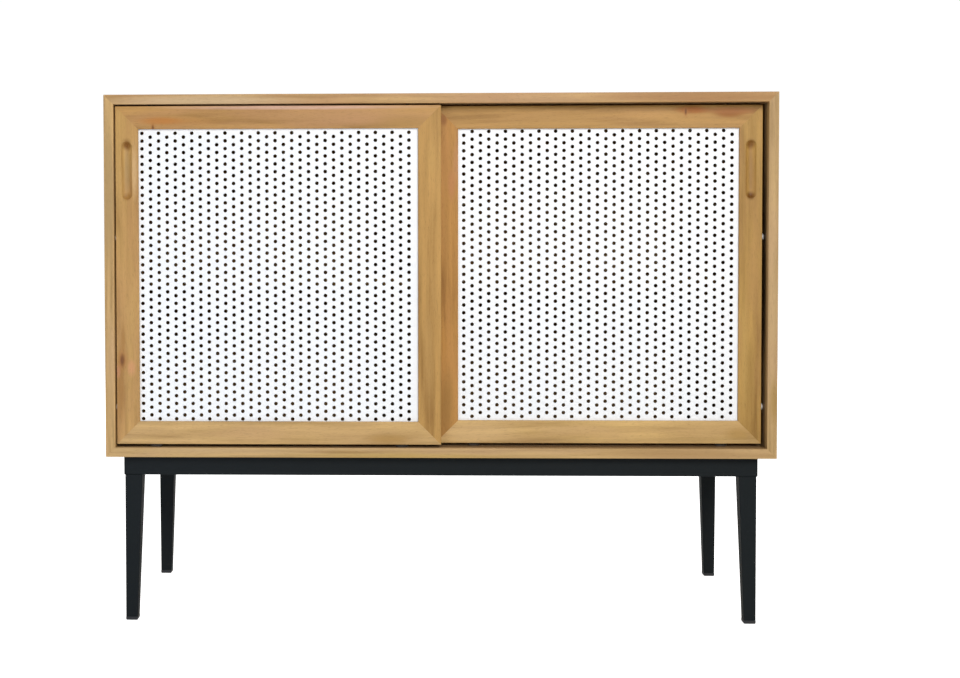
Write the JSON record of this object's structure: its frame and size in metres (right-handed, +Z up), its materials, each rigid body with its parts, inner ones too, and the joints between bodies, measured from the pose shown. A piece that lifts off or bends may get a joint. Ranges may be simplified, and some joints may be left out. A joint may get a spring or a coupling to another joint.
{
  "type": "sliding door cabinet",
  "caption": "Low wooden cabinet with framed perforated doors that slide past each other on rollers in a double track, on a black steel base with tapered legs.",
  "frame": {"origin": "on the floor, under the centre of the case", "axes": "+X to the right as seen from the front, along the width; +Y from the front to the back; +Z up; the doors face -Y"},
  "size_m": [1.2, 0.45, 0.954],
  "materials": {
    "case_wood": "light brown solid wood boards with grain and knots, satin lacquer",
    "door_wood": "light to mid brown solid wood frame with grain and knots, satin lacquer",
    "back_plywood": "matt lacquered plywood",
    "white_steel": "white powder coat, satin",
    "black_steel": "black powder coat, fine texture",
    "glide_plastic": "moulded, matt",
    "track_plastic": "light brown extrusion, satin",
    "nylon": "beige nylon, moulded",
    "bumper_plastic": "soft translucent rubber, light",
    "zinc_steel": "zinc plated"
  },
  "bodies": {
    "carcass": {"top_panel": "case_wood", "bottom_panel": "case_wood", "left_side": "case_wood", "right_side": "case_wood", "centre_partition": "case_wood", "left_shelf": "case_wood", "right_shelf": "case_wood", "back_panel": "back_plywood", "left_shelf_pin_1": "zinc_steel", "left_shelf_pin_2": "zinc_steel", "left_shelf_pin_3": "zinc_steel", "left_shelf_pin_4": "zinc_steel", "right_shelf_pin_1": "zinc_steel", "right_shelf_pin_2": "zinc_steel", "right_shelf_pin_3": "zinc_steel", "right_shelf_pin_4": "zinc_steel", "top_track": "track_plastic", "bottom_track": "track_plastic", "base_front_rail": "black_steel", "base_back_rail": "black_steel", "base_left_rail": "black_steel", "base_right_rail": "black_steel", "front_left_leg": "black_steel", "front_left_foot_glide": "glide_plastic", "front_right_leg": "black_steel", "front_right_foot_glide": "glide_plastic", "rear_left_leg": "black_steel", "rear_left_foot_glide": "glide_plastic", "rear_right_leg": "black_steel", "rear_right_foot_glide": "glide_plastic", "base_screw_1": "zinc_steel", "base_screw_2": "zinc_steel", "base_screw_3": "zinc_steel", "base_screw_4": "zinc_steel"},
    "left_door": {"left_door_outer_stile": "door_wood", "left_door_inner_stile": "door_wood", "left_door_top_rail": "door_wood", "left_door_bottom_rail": "door_wood", "left_door_perforated_sheet": "white_steel", "left_door_bumper_upper": "bumper_plastic", "left_door_bumper_lower": "bumper_plastic", "left_door_guide_pin_1": "glide_plastic", "left_door_roller_housing_1": "black_steel", "left_door_guide_pin_2": "glide_plastic", "left_door_roller_housing_2": "black_steel"},
    "right_door": {"right_door_outer_stile": "door_wood", "right_door_inner_stile": "door_wood", "right_door_top_rail": "door_wood", "right_door_bottom_rail": "door_wood", "right_door_perforated_sheet": "white_steel", "right_door_bumper_upper": "bumper_plastic", "right_door_bumper_lower": "bumper_plastic", "right_door_guide_pin_1": "glide_plastic", "right_door_roller_housing_1": "black_steel", "right_door_guide_pin_2": "glide_plastic", "right_door_roller_housing_2": "black_steel"},
    "left_door_roller_1_body": {"left_door_roller_1": "nylon"},
    "left_door_roller_2_body": {"left_door_roller_2": "nylon"},
    "right_door_roller_1_body": {"right_door_roller_1": "nylon"},
    "right_door_roller_2_body": {"right_door_roller_2": "nylon"}
  },
  "joints": [
    {"name": "left_door_slide", "type": "slide", "parent": "carcass", "child": "left_door", "axis": [1, 0, 0], "range_m": [0, 0.574]},
    {"name": "right_door_slide", "type": "slide", "parent": "carcass", "child": "right_door", "axis": [1, 0, 0], "range_m": [-0.574, 0]},
    {"name": "left_door_roller_1_spin", "type": "hinge", "parent": "left_door", "child": "left_door_roller_1_body", "pos_m": [-0.51, -0.21, 0.3313], "axis": [0, 1, 0], "continuous": true},
    {"name": "left_door_roller_2_spin", "type": "hinge", "parent": "left_door", "child": "left_door_roller_2_body", "pos_m": [-0.066, -0.21, 0.3313], "axis": [0, 1, 0], "continuous": true},
    {"name": "right_door_roller_1_spin", "type": "hinge", "parent": "right_door", "child": "right_door_roller_1_body", "pos_m": [0.064, -0.186, 0.3313], "axis": [0, 1, 0], "continuous": true},
    {"name": "right_door_roller_2_spin", "type": "hinge", "parent": "right_door", "child": "right_door_roller_2_body", "pos_m": [0.508, -0.186, 0.3313], "axis": [0, 1, 0], "continuous": true}
  ],
  "couplings": [
    {"joint": "left_door_roller_1_spin", "follows": "left_door_slide", "rad_per_m": 74.074},
    {"joint": "left_door_roller_2_spin", "follows": "left_door_slide", "rad_per_m": 74.074},
    {"joint": "right_door_roller_1_spin", "follows": "right_door_slide", "rad_per_m": 74.074},
    {"joint": "right_door_roller_2_spin", "follows": "right_door_slide", "rad_per_m": 74.074}
  ]
}
